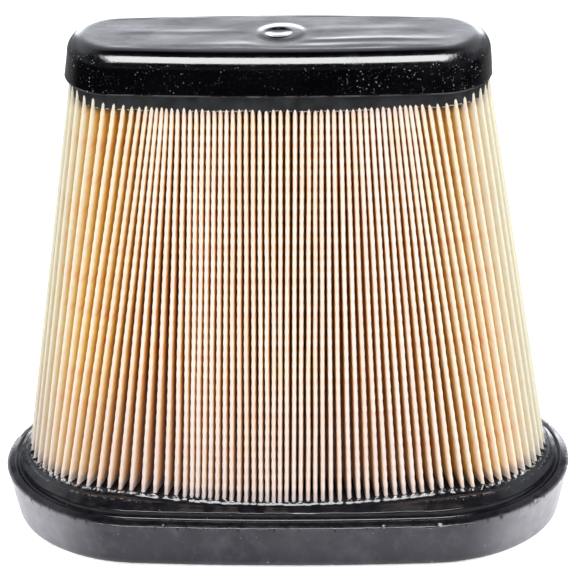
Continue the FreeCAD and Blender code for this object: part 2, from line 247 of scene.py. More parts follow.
# ---------------------------------------------------------------------------
# Shader graphs
# ---------------------------------------------------------------------------
class Value:
    """A node output. Arithmetic on it adds Math nodes."""

    def __init__(self, graph, socket):
        self.graph, self.socket = graph, socket

    def __add__(self, other):
        return self.graph.math("ADD", self, other)

    def __radd__(self, other):
        return self.graph.math("ADD", other, self)

    def __sub__(self, other):
        return self.graph.math("SUBTRACT", self, other)

    def __rsub__(self, other):
        return self.graph.math("SUBTRACT", other, self)

    def __mul__(self, other):
        return self.graph.math("MULTIPLY", self, other)

    def __truediv__(self, other):
        return self.graph.math("DIVIDE", self, other)

    def __abs__(self):
        return self.graph.math("ABSOLUTE", self)

    def ease(self, over, to=(0.0, 1.0)):
        """Smooth, clamped map of the range `over` to the range `to`."""
        inputs = {"Value": self, "From Min": over[0], "From Max": over[1],
                  "To Min": to[0], "To Max": to[1]}
        return self.graph.value("MapRange", inputs, interpolation_type="SMOOTHSTEP")

    def toward(self, colour, share):
        return self.graph.mix(self, colour, share)


class Graph:
    math_inputs = 2          # inputs of a Math node that are set, unread ones to 0

    def __init__(self, tree):
        self.tree = tree

    def put(self, socket, value):
        """Link a value to the socket, or store a constant in it."""
        if isinstance(value, Value):
            value = value.socket
        if isinstance(value, bpy.types.NodeSocket):
            self.tree.links.new(value, socket)
        elif socket.type == "RGBA":
            socket.default_value = (*value, 1.0)
        else:
            socket.default_value = value

    def node(self, kind, inputs=None, **settings):
        node = self.tree.nodes.new("ShaderNode" + kind)
        for key, setting in settings.items():
            setattr(node, key, setting)
        for key, value in (inputs or {}).items():
            self.put(node.inputs[key], value)
        return node

    def value(self, kind, inputs=None, output=0, **settings):
        return Value(self, self.node(kind, inputs, **settings).outputs[output])

    def math(self, operation, first, second=0.0, clamp=False):
        inputs = dict(enumerate((first, second, 0.0)[:self.math_inputs]))
        return self.value("Math", inputs, operation=operation, use_clamp=clamp)

    def maximum(self, first, second):
        return self.math("MAXIMUM", first, second)

    def split(self, vector):
        return [Value(self, out) for out in self.node("SeparateXYZ", {0: vector}).outputs]

    def mix(self, first, second, share):
        # inputs 6 and 7 and output 2 are the Mix node's colour sockets
        return self.value("Mix", {"Factor": share, 6: first, 7: second}, 2, data_type="RGBA")

    def ramp(self, value, stops):
        """Colour ramp; stops are (position, colour)."""
        node = self.node("ValToRGB", {"Fac": value})
        elements = node.color_ramp.elements
        while len(elements) < len(stops):
            elements.new(0.5)
        for element, (position, colour) in zip(elements, stops):
            element.position = position
            element.color = (*colour, 1.0)
        return Value(self, node.outputs["Color"])


class Material(Graph):
    """Principled material whose patterns are laid out in object millimetres."""
    math_inputs = 3

    def __init__(self, name):
        self.material = bpy.data.materials.new(name)
        self.material.use_nodes = True
        super().__init__(self.material.node_tree)
        coords = self.node("TexCoord").outputs["Object"]
        self.mm = self.value("VectorMath", {0: coords, "Scale": 1.0 / MM}, operation="SCALE")

    def noise(self, size, detail=3.0, roughness=0.55, stretch=None):
        """Noise with features of about `size` mm; `stretch` scales the coordinates first."""
        vector = self.mm
        if stretch:
            vector = self.value("VectorMath", {0: vector, 1: stretch}, operation="MULTIPLY")
        inputs = {"Scale": 1.0 / size, "Detail": detail, "Roughness": roughness,
                  "Vector": vector}
        return self.value("TexNoise", inputs, "Fac")

    def specks(self, size, share, radius, patch=None):
        """Small round specks; `share` of the cells carry one."""
        cells = self.node("TexVoronoi", {"Scale": 1.0 / size, "Vector": self.mm})
        random = self.node("SeparateColor", {0: cells.outputs["Color"]}).outputs
        present = self.math("GREATER_THAN", random[0], 1.0 - share)
        reach = Value(self, random[1]) * radius + radius * 0.35
        fall = Value(self, cells.outputs["Distance"]) / reach
        dot = self.math("SUBTRACT", 1.0, fall, clamp=True).ease(over=(0.0, 0.45)) * present
        return dot if patch is None else dot * patch

    def attribute(self, name):
        return self.value("Attribute", None, "Fac", attribute_name=name)

    def finish(self, colour, roughness, height, relief_mm, strength=1.0, metallic=0.0,
               specular=0.5):
        """Wire up the surface; `height` becomes a bump `relief_mm` deep."""
        normal = self.value("Bump", {"Strength": strength, "Distance": relief_mm * MM,
                                     "Height": height}, "Normal")
        inputs = {"Base Color": colour, "Roughness": roughness, "Metallic": metallic,
                  "Specular IOR Level": specular, "Coat Roughness": 0.05, "Normal": normal}
        for key, value in inputs.items():
            self.put(self.tree.nodes["Principled BSDF"].inputs[key], value)
        return self.material


# ---------------------------------------------------------------------------
# Materials
# ---------------------------------------------------------------------------
def cap_material():
    mat = Material("cap_pu")
    x, _, z = mat.split(mat.mm)
    big = mat.noise(size=28.0)
    mid = mat.noise(size=5.0, detail=4.0)
    fine = mat.noise(size=0.9)

    # dust on the wall below the rounded edge, most of it toward the ends
    wall = z.ease(over=(186.8, 184.0))
    right = x.ease(over=(-10.0, 50.0), to=(0.45, 1.0))
    left = x.ease(over=(-46.0, -66.0), to=(0.0, 0.9))
    patchy = mat.noise(size=9.0, detail=2.0).ease(over=(0.38, 0.55))
    coarse_patch = mat.maximum(right, left) * patchy * wall
    coarse_dots = mat.specks(size=0.95, share=0.50, radius=0.19, patch=coarse_patch)
    fine_patch = wall * mat.maximum(x.ease(over=(18.0, 52.0), to=(0.25, 1.0)), left)
    fine_dots = mat.specks(size=0.60, share=0.50, radius=0.15, patch=fine_patch)
    dust = mat.maximum(coarse_dots, fine_dots * 0.8)

    near_black, dark = (0.0004, 0.0004, 0.0010), (0.0014, 0.0014, 0.0024)
    base = mat.mix(near_black, dark, big.ease(over=(0.35, 0.7)))
    haze = x.ease(over=(30.0, 74.0)) * mid.ease(over=(0.35, 0.65), to=(0.0, 0.5))
    base = base.toward(colour=(0.010, 0.010, 0.014), share=haze)
    base = base.toward(colour=(0.55, 0.55, 0.60), share=dust * 0.85)
    # matt recessed band under the lip
    band = z.ease(over=(172.9, 172.3))
    band_dark, band_light = (0.007, 0.008, 0.010), (0.018, 0.020, 0.024)
    base = base.toward(mat.mix(band_dark, band_light, mid.ease(over=(0.3, 0.7))), share=band)
    # a paler, patchy line along the lip
    lip = z.ease(over=(172.5, 172.7)) * z.ease(over=(173.35, 173.0))
    lip_patches = mat.noise(size=7.0).ease(over=(0.4, 0.6), to=(0.15, 0.9))
    base = base.toward(colour=(0.085, 0.085, 0.095), share=lip * lip_patches)
    # painted highlight: a broken light line where the skin meets the folds
    gleam = mat.attribute("gleam") * mat.noise(size=1.2).ease(over=(0.45, 0.55))
    base = base.toward(colour=(0.60, 0.60, 0.62), share=gleam)

    # grainy skin round the ends of the rounded edge
    ends = abs(x + 1.0).ease(over=(50.0, 66.0))
    grain = mat.noise(size=1.3, roughness=0.7)
    # roughness: skin, plus grainy ends, dull clouds and the band
    rough = mid.ease(over=(0.3, 0.75), to=(0.10, 0.17)) + ends * 0.06
    rough = rough + mat.noise(size=12.0, detail=5.0).ease(over=(0.5, 0.7)) * 0.06
    rough = rough + band * 0.34
    # relief: small and broad unevenness, fine skin, grain on the edge, dust
    height = mat.noise(size=2.2, detail=2.0) * 0.30
    height = height + mat.noise(size=7.5, detail=2.0, stretch=(0.35, 1, 1)) * 0.9
    height = height + fine * (ends * 0.15 + 0.02)
    edge = z.ease(over=(180.0, 184.0)) * z.ease(over=(188.1, 186.9), to=(0.12, 1.0))
    height = height + grain * (ends * 2.6 * edge)
    height = height + dust * 0.9
    return mat.finish(base, rough, height, relief_mm=0.055, specular=0.56)


def flange_material():
    mat = Material("flange_pu")
    x, _, z = mat.split(mat.mm)
    gloss = mat.attribute("gloss")           # 1 on the poured top, 0 on the moulded side
    big = mat.noise(size=22.0, detail=4.0)
    mid = mat.noise(size=4.0, detail=4.0)
    fine = mat.noise(size=0.7)

    # moulded side: pale foot, scuffs, haze, painted sheen toward the ends, specks
    side_dark, side_light = (0.036, 0.035, 0.046), (0.058, 0.057, 0.071)
    side = mat.mix(side_dark, side_light, big.ease(over=(0.3, 0.7)))
    foot = z.ease(over=(2.6, 0.6), to=(0.0, 0.8))
    side = side.toward(colour=(0.090, 0.092, 0.078), share=foot)
    scuff = mat.noise(size=3.0, detail=6.0, roughness=0.7, stretch=(0.4, 0.4, 1.4))
    side = side.toward(colour=(0.112, 0.110, 0.124),
                       share=scuff.ease(over=(0.60, 0.72), to=(0.0, 0.4)))
    haze = mat.noise(size=5.0, detail=5.0, roughness=0.65, stretch=(0.6, 0.6, 0.35))
    side = side.toward(colour=(0.104, 0.103, 0.123),
                       share=haze.ease(over=(0.46, 0.70), to=(0.0, 0.6)))
    side_dots = mat.specks(size=1.9, share=0.12, radius=0.15)
    abs_x = abs(x)
    # painted sheen: the side paled toward both ends, where it catches bright side light at a
    # grazing angle
    ends = abs_x.ease(over=(62.0, 102.0)) * mid.ease(over=(0.2, 0.8), to=(0.7, 1.0))
    side = side.toward(colour=(0.50, 0.49, 0.53), share=ends)
    side = side.toward(colour=(0.5, 0.5, 0.52), share=side_dots * 0.55)

    top_dark, top_light = (0.004, 0.004, 0.006), (0.012, 0.012, 0.015)
    top = mat.mix(top_dark, top_light, mid.ease(over=(0.3, 0.7)))
    top_dots = mat.specks(size=1.7, share=0.10, radius=0.13)
    top = top.toward(colour=(0.3, 0.3, 0.32), share=top_dots * 0.5)
    base = side.toward(top, share=gloss)
    # painted highlights: glints on the bead at the foot of the folds, crescents between the
    # fanned folds, a line along the collar ridge and the torn flash
    gleam = mat.attribute("gleam") * mat.noise(size=1.5).ease(over=(0.50, 0.60))
    base = base.toward(colour=(0.62, 0.62, 0.64), share=gleam)

    side_rough = mid.ease(over=(0.25, 0.75), to=(0.44, 0.60))
    top_rough = mat.noise(size=6.0, detail=4.0).ease(over=(0.3, 0.7), to=(0.10, 0.17))
    rough = side_rough * (1.0 - gloss) + top_rough * gloss
    # relief: three sizes of unevenness, weaker on the poured top, then specks
    height = fine * 0.22
    height = height + mat.noise(size=3.2) * 0.6
    height = height + mat.noise(size=12.0, detail=2.0, stretch=(0.4, 0.4, 1.0)) * 1.2
    height = height * (1.0 - gloss * 0.68)
    height = height + mat.maximum(side_dots, top_dots) * 0.8
    # specular level: a little more on the top, much less at the ends
    specular = (0.38 + gloss * 0.04) * abs_x.ease(over=(80.0, 97.0), to=(1.0, 0.22))
    return mat.finish(base, rough, height, relief_mm=0.06, specular=specular)


def paper_material():
    mat = Material("paper")
    x, _, z = mat.split(mat.mm)
    # painted shade: the deeper a point lies in its fold, the darker the paper is painted
    depth = mat.attribute("dep")             # depth below the fold tips, 0 to 1, toned
    fold_random = mat.attribute("pv")        # one random value per fold
    # painted shade: the paper's pale tips and orange flanks, darkened to near black down in the
    # valleys where the folds shade each other
    col = mat.ramp(depth, [
        (0.0, (0.90, 0.79, 0.76)), (0.022, (0.88, 0.75, 0.60)), (0.075, (0.93, 0.61, 0.16)),
        (0.24, (0.88, 0.40, 0.06)), (0.5, (0.24, 0.042, 0.009)), (1.0, (0.030, 0.007, 0.0015))])
    # mottling, and a tint that differs from fold to fold
    mottle = mat.noise(size=5.5, detail=4.0, roughness=0.6, stretch=(1.0, 1.0, 0.35))
    col = col.toward(colour=(0.90, 0.60, 0.18),
                     share=mottle.ease(over=(0.50, 0.75), to=(0.0, 0.30)))
    col = col.toward(colour=(0.96, 0.80, 0.72),
                     share=mat.noise(size=3.0).ease(over=(0.55, 0.8), to=(0.0, 0.22)))
    col = col.toward(colour=(0.84, 0.50, 0.22), share=fold_random * 0.22)
    # folds that fan out toward the ends: less painted shade on their open flanks, then a tan
    # tint on their tips
    fan_flank = mat.attribute("fan") * depth.ease(over=(0.01, 0.07), to=(0.0, 0.62))
    col = col.toward(colour=(0.84, 0.585, 0.10), share=fan_flank)
    fan_tip = mat.attribute("fan") * depth.ease(over=(0.03, 0.0), to=(0.0, 0.45))
    col = col.toward(colour=(0.89, 0.71, 0.40), share=fan_tip)
    # painted light: the end folds washed pale, as by the bright light from the sides
    col = col.toward(colour=(0.64, 0.65, 0.52), share=mat.attribute("end") * 0.8)
    # warm and pale patches on the flanks
    flank = depth.ease(over=(0.008, 0.05))
    warm = mat.noise(size=6.0, detail=4.0, roughness=0.65, stretch=(1.0, 1.0, 0.32))
    warm = warm.ease(over=(0.50, 0.68), to=(0.0, 0.48))
    col = col.toward(colour=(0.84, 0.40, 0.085), share=warm * flank)
    pale = mat.noise(size=4.2, detail=4.0, roughness=0.65, stretch=(1.0, 1.0, 0.45))
    pale = pale.ease(over=(0.54, 0.74), to=(0.0, 0.32)) * (1.0 - mat.attribute("fan") * 0.7)
    col = col.toward(colour=(0.93, 0.86, 0.66), share=pale * depth.ease(over=(0.30, 0.12)))
    # faint warm bands across the flanks, one for every three emboss ripples
    wander = mat.noise(size=40.0, detail=1.0).ease(over=(0.2, 0.8), to=(0.0, 0.25))
    band = abs(mat.math("FRACT", z / (3.0 * RIPPLE) + wander) - 0.5)
    broken = mat.noise(size=14.0, detail=2.0)
    band = band.ease(over=(0.17, 0.03)) * broken.ease(over=(0.35, 0.65), to=(0.14, 0.50))
    band = band * (1.0 - mat.attribute("end") * 0.75)
    col = col.toward(colour=(0.80, 0.32, 0.10), share=band * depth.ease(over=(0.005, 0.04)))
    col = col.toward(colour=(0.90, 0.58, 0.44),
                     share=band * depth.ease(over=(0.04, 0.005), to=(0.0, 0.55)))
    fibres = mat.noise(size=0.35, detail=4.0, roughness=0.7, stretch=(1.0, 1.0, 0.5))
    col = col.toward(colour=(0.62, 0.44, 0.28),
                     share=fibres.ease(over=(0.60, 0.80), to=(0.0, 0.22)))
    # polyurethane has wicked a little way along the folds from both mouldings
    foot = (z + mat.noise(size=1.6) * 3.4).ease(over=(31.5, 26.6))
    head = (z - mat.noise(size=1.4) * 2.2).ease(over=(161.5, 165.6))
    sunk = depth.ease(over=(0.0, 0.05), to=(0.12, 0.85))
    col = col.toward(colour=(0.05, 0.04, 0.05), share=mat.maximum(foot, head) * sunk)
    # greyer low down, and most where the folds meet the base
    low_tint = (z.ease(over=(85.0, 26.0), to=(0.0, 0.40))
                * x.ease(over=(75.0, 20.0), to=(0.2, 1.0)))
    col = col.toward(colour=(0.66, 0.54, 0.53), share=low_tint)
    toe = (z + mat.noise(size=2.0) * 4.0).ease(over=(31.5, 26.5), to=(0.0, 0.5))
    col = col.toward(colour=(0.46, 0.41, 0.43), share=toe)
    rough = mat.noise(size=2.0, detail=4.0).ease(over=(0.3, 0.7), to=(0.72, 0.9))
    height = fibres * 0.5 + mat.noise(size=1.4) * 0.5
    return mat.finish(col, rough, height, relief_mm=0.05, strength=0.8, specular=0.25)


def plastic_material(name, colour, roughness, grain):
    """Mottled dark plastic; `grain` is the size of its fine relief."""
    mat = Material(name)
    mottle = mat.noise(size=6.0, detail=4.0).ease(over=(0.3, 0.7))
    base = mat.mix(tuple(c * 0.8 for c in colour), tuple(c * 1.3 for c in colour), mottle)
    dots = mat.specks(size=3.5, share=0.2, radius=0.3)
    scratches = mat.noise(size=1.5, detail=5.0, roughness=0.7, stretch=(3.0, 3.0, 0.25))
    base = base.toward(colour=tuple(min(1.0, c * 2.6 + 0.02) for c in colour),
                       share=scratches.ease(over=(0.62, 0.72), to=(0.0, 0.3)))
    base = base.toward(colour=(0.3, 0.28, 0.25), share=dots * 0.35)
    rough = mat.noise(size=4.0, detail=4.0)
    rough = rough.ease(over=(0.3, 0.7), to=(roughness - 0.08, roughness + 0.1))
    height = mat.noise(size=grain) * 0.6 + mat.noise(size=9.0, detail=2.0) * 0.8
    return mat.finish(base, rough, height, relief_mm=0.06, strength=0.8)


def metal_material(name, colour, roughness, brushing):
    """Brushed metal with dull spots; `brushing` stretches the brush marks."""
    mat = Material(name)
    brush = mat.noise(size=0.6, detail=4.0, roughness=0.7, stretch=brushing)
    spot = mat.noise(size=5.0, detail=5.0).ease(over=(0.55, 0.72))
    base = mat.mix(tuple(c * 0.78 for c in colour), colour, brush.ease(over=(0.3, 0.7)))
    base = base.toward(colour=(0.30, 0.26, 0.21), share=spot * 0.45)
    rough = brush.ease(over=(0.3, 0.7), to=(roughness - 0.06, roughness + 0.08))
    rough = rough + spot * 0.25
    height = brush * 0.5 + spot * 0.4
    return mat.finish(base, rough, height, relief_mm=0.02, strength=0.8, metallic=1.0)


# ---------------------------------------------------------------------------
# Folded paper
# ---------------------------------------------------------------------------
# Rounded fold tip: (sideways from the fold's middle, depth)
TIP = [(-0.68, 0.55), (-0.45, 0.13), (0.0, 0.0), (0.45, 0.13), (0.68, 0.55)]
TIP_HALF = TIP[-1][0]
FLANK = (0.16, 0.5)                      # shares of the way from tip to valley


def below(oval, station, side, depth):
    """Point a depth inside the oval, moved sideways by `side` measured at that depth."""
    radius = oval.at(station)[4]
    x, y, in_x, in_y, _ = oval.at(station + side * radius / (radius - depth))
    return np.stack([x + in_x * depth, y + in_y * depth], -1)


def directions(oval, stations):
    """Unit directions along the oval, toward growing stations."""
    x, y, in_x, in_y, _ = oval.at(stations)
    tangent = np.stack([-in_y, in_x], -1)
    ahead = np.stack(oval.at(stations + 0.05)[:2], -1) - np.stack([x, y], -1)
    return tangent * np.sign((tangent * ahead).sum(1))[:, None]


def strip(oval, stations, depth, tip_depth):
    """Outline of the strip in one plane: outer points, their sideways direction,
    depth and fold number, then the inner points, which run the other way."""
    points, sideways, depths, folds = [], [], [], []
    middle = 0.5 * (stations[:-1] + stations[1:])
    valley = below(oval, middle, 0.0, depth - PAPER_T)
    tangent = directions(oval, stations)

    def put(point, direction, down, fold):
        points.append(point)
        sideways.append(direction)
        depths.append(down / DEPTH_BOT)
        folds.append(fold)

    first = below(oval, stations[0], 0.5, LAND)
    last = below(oval, stations[PLEATS], -0.5, LAND)
    tips = [below(oval, stations, side, down + tip_depth) for side, down in TIP]
    still = 0 * tangent[0]
    put(first, still, LAND, 0)
    for k in range(PLEATS):
        start = tips[-1][k] if k else first
        end = tips[0][k + 1] if k < PLEATS - 1 else last
        for share in FLANK:
            put(start + (valley[k] - start) * share, tangent[k] * (0.8 - share),
                depth * share, k)
        put(valley[k], still, depth, k)
        for share in FLANK[::-1]:
            put(end + (valley[k] - end) * share, -tangent[k + 1] * (0.8 - share),
                depth * share, k + 1)
        if k < PLEATS - 1:
            for tip, (side, down) in zip(tips, TIP):
                put(tip[k + 1], tangent[k + 1] * side / TIP_HALF, down, k + 1)
    put(last, still, LAND, PLEATS)

    inner = [below(oval, stations[PLEATS], -0.05, LAND)]
    for k in range(PLEATS - 1, -1, -1):
        inner.append(below(oval, middle[k], 0.5, depth))
        inner.append(below(oval, middle[k], -0.5, depth))
        if k > 0:
            inner.append(below(oval, stations[k], 0.0, PAPER_T + tip_depth[k]))
    inner.append(below(oval, stations[0], 0.05, LAND))
    return [np.array(part) for part in (points, sideways, depths, folds, inner)]


def strip_places():
    """Place of each outer and inner outline point along the strip, in pleats."""
    outer, inner = [0.0], [0.0]
    for k in range(PLEATS):
        outer += [k + share for share in (0.08, 0.3, 0.5, 0.7, 0.92)]
        inner += [k + 0.46, k + 0.54]
        if k < PLEATS - 1:
            outer += [k + 1 + share for share in (-0.05, -0.02, 0.0, 0.02, 0.05)]
            inner.append(k + 1.0)
    return outer + [float(PLEATS)], inner + [float(PLEATS)]


def build_paper():
    random = np.random.default_rng(5)
    count = PLEATS + 1
    # irregular folds; the two at the seam stay true
    jitter = random.uniform(-1, 1, count)
    jitter[0] = jitter[-1] = 0.0
    tip_depth = 0.07 * (1 + random.uniform(-1, 1, count))
    tip_depth[0] = tip_depth[-1] = 0.0
    low = STATIONS_BOT + 0.10 * jitter
    high = STATIONS_TOP + (0.05 * random.permutation(jitter)
                           * (np.arange(count) % PLEATS > 0))
    points_bot, side_bot, depth, fold, inner_bot = strip(OVAL_BOT, low, DEPTH_BOT, tip_depth)
    points_top, side_top, _, _, inner_top = strip(OVAL_TOP, high, DEPTH_TOP, tip_depth)
    # slow sideways drift of each fold over its height
    drift_size = random.uniform(0.03, 0.10, count)
    drift_phase = random.uniform(0, 6.28, count)
    drift_length = random.uniform(45, 95, count)
    drift_size[0] = drift_size[-1] = 0.0
    fold_random = random.uniform(0, 1, count)
    tangent = directions(OVAL_BOT, low)[fold]
    shallow = np.clip(1.0 - depth * 2.0, 0, 1)
    # how far each fold belongs to the ends, to the fanned part and to the +X side, whose folds
    # get lighter painted shade, as if lit from the right front
    fold_x = OVAL_BOT.at(low)[0]
    end = smooth(80.0, 94.0, np.abs(fold_x))[fold]
    fan = smooth(48.0, 80.0, np.abs(fold_x))[fold]
    lit = 0.62 * smooth(0.0, 42.0, fold_x)[fold]

    builder = Builder()
    outer_z = np.concatenate([[PAPER_Z0, 16.0, 20.0], np.arange(21.2, 170.5, RIPPLE / 4),
                              [172.5, PAPER_Z1]])
    outer = []
    for z in outer_z:
        share = height_share(z)
        fade = float(smooth(21.0, 27.0, z) * (1 - smooth(166.0, 171.0, z)))
        ripple = RIPPLE_SWING * math.cos(2 * math.pi * z / RIPPLE) * fade
        drift = (drift_size * np.sin(2 * math.pi * z / drift_length + drift_phase)
                 * float(smooth(24, 45, z) * (1 - smooth(150, 168, z))))
        flat = (points_bot + (points_top - points_bot) * share
                + (side_bot + (side_top - side_bot) * share) * ripple)
        flat = flat + tangent * (drift[fold] * shallow)[:, None]
        # painted shade, toned per fold: deeper up the pack where the folds close up, lighter up
        # the fanned ends and on the lit +X side
        tone = (1 - 0.35 * share + (1 - fan) * share - 0.30 * fan * share) * (1 - lit)
        outer.append(builder.add(
            np.column_stack([flat, np.full(len(flat), z)]), dep=depth * tone,
            pv=fold_random[fold], end=end * shallow, fan=fan * (depth < 0.55)))
    builder.loft(outer, closed=False)

    inner_z = np.linspace(PAPER_Z0, PAPER_Z1, 9)
    inner = []
    for z in inner_z:
        flat = inner_bot + (inner_top - inner_bot) * height_share(z)
        # the inside face is painted at a middle shade
        inner.append(builder.add(np.column_stack([flat, np.full(len(flat), z)]),
                                 dep=0.6, pv=0.5))
    builder.loft(inner, closed=False)
    # upright edges at the seam
    for outer_end, inner_end in ((-1, 0), (0, -1)):
        builder.zipper([row[outer_end] for row in outer], outer_z,
                       [row[inner_end] for row in inner], inner_z)
    # cut ends at the bottom and top; the inner row is turned to run with the outer one
    outer_places, inner_places = strip_places()
    for i in (0, -1):
        builder.zipper(outer[i], outer_places, inner[i][::-1], inner_places)
    return builder.build("paper_folds")


# ---------------------------------------------------------------------------
# Mouldings: a section carried round, with columns that keep step with the folds
# ---------------------------------------------------------------------------
class Columns:
    def __init__(self, pack, stations, per_fold):
        place = np.arange(PLEATS * per_fold) / per_fold
        fold = np.floor(place).astype(int)
        part = place - fold
        self.pitch = np.diff(stations)[fold]
        along = stations[fold] + part * self.pitch
        self.x, self.y = pack.at(along)[:2]
        self.around = along / stations[-1]                           # 0 to 1 round the oval
        self.off_fold = np.minimum(part, 1 - part) * self.pitch      # to the nearest fold
        self.fold = np.where(part < 0.5, fold, (fold + 1) % PLEATS)  # the nearest fold

    def on(self, oval, inset, z):
        return oval.inset(self.x, self.y, inset, z)

    def wave(self, counts, heights, seed):
        """Smooth closed random curve, about `counts` waves round with these heights."""
        random = np.random.default_rng(seed)
        total = np.zeros_like(self.around)
        for count, height in zip(counts, heights):
            for _ in range(3):
                turns = int(max(1, round(count * random.uniform(0.75, 1.3))))
                total += (height * random.uniform(0.5, 1.0)
                          * np.sin(2 * math.pi * turns * self.around + random.uniform(0, 6.28))
                          / 1.6)
        return total


FLANGE = Oval(102.5, 53.1, 51.4)
TIP_INSET = 8.7                          # rim to fold tips on the axes
COLLAR_INSET = 5.1                       # where the collar begins to follow the folds
SIDE_FOOT, SIDE_HEAD = 3.78, 0.22        # insets of the drafted side, bottom and top

# (inset, z)
FLANGE_FOOT = [(4.9, 0.0), (4.35, 0.16), (3.95, 0.55), (SIDE_FOOT, 1.0)]
# ledge with a small ridge, a groove, then the foot of the collar
FLANGE_LEDGE = [
    (1.8, 18.55), (2.45, 18.93), (2.62, 19.02), (2.74, 19.14), (2.86, 19.19), (3.04, 19.14),
    (3.35, 18.98), (3.75, 18.82), (4.15, 18.66), (4.45, 18.66), (4.66, 18.92), (4.80, 19.35),
    (4.92, 20.2)]
# (inset, outward pull by the crease, z, share of the crease's waviness)
FLANGE_CREASE = [
    (5.00, 0.0, 20.75, 0.6), (5.02, 0.06, 21.10, 1.0), (4.98, 0.13, 21.30, 1.0),
    (5.12, 0.10, 21.45, 1.0)]
# (inset, z, share of the crease's waviness, height of the soft ridge, its painted highlight)
FLANGE_COLLAR = [
    (5.40, 21.60, 0.7, 0.0, 0.0), (6.2, 22.02, 0.3, 0.0, 0.0), (6.75, 22.31, 0.2, 0.10, 0.0),
    (7.0, 22.44, 0.1, 0.30, 0.12), (7.18, 22.53, 0.0, 0.34, 0.32), (7.4, 22.65, 0.0, 0.18, 0.0),
    (7.8, 22.86, 0.0, 0.0, 0.0)]
# insets of the rows that run in among the folds
FLANGE_FOLDS = (8.1, 8.32, 8.48, 8.62, 8.78, 8.98, 9.3, 10.0, 11.2, 13.5, 17.5, 23.0, 28.5)
# (inset from the neck, z, gloss)
FLANGE_NECK = [(-0.02, 5.55, 0.5), (-0.02, 3.5, 0.3), (-0.02, 1.5, 0.2), (-0.8, 0.7, 0.1),
               (-1.6, 0.0, 0.0)]
# (inset, z): underside from the neck outward, with one groove round it
FLANGE_UNDERSIDE = [
    (25.5, 0.0), (21.55, 0.0), (21.5, 1.1), (21.2, 1.9), (20.5, 2.2), (17.5, 2.2),
    (16.8, 1.9), (16.5, 1.1), (16.45, 0.0), (10.5, 0.0)]


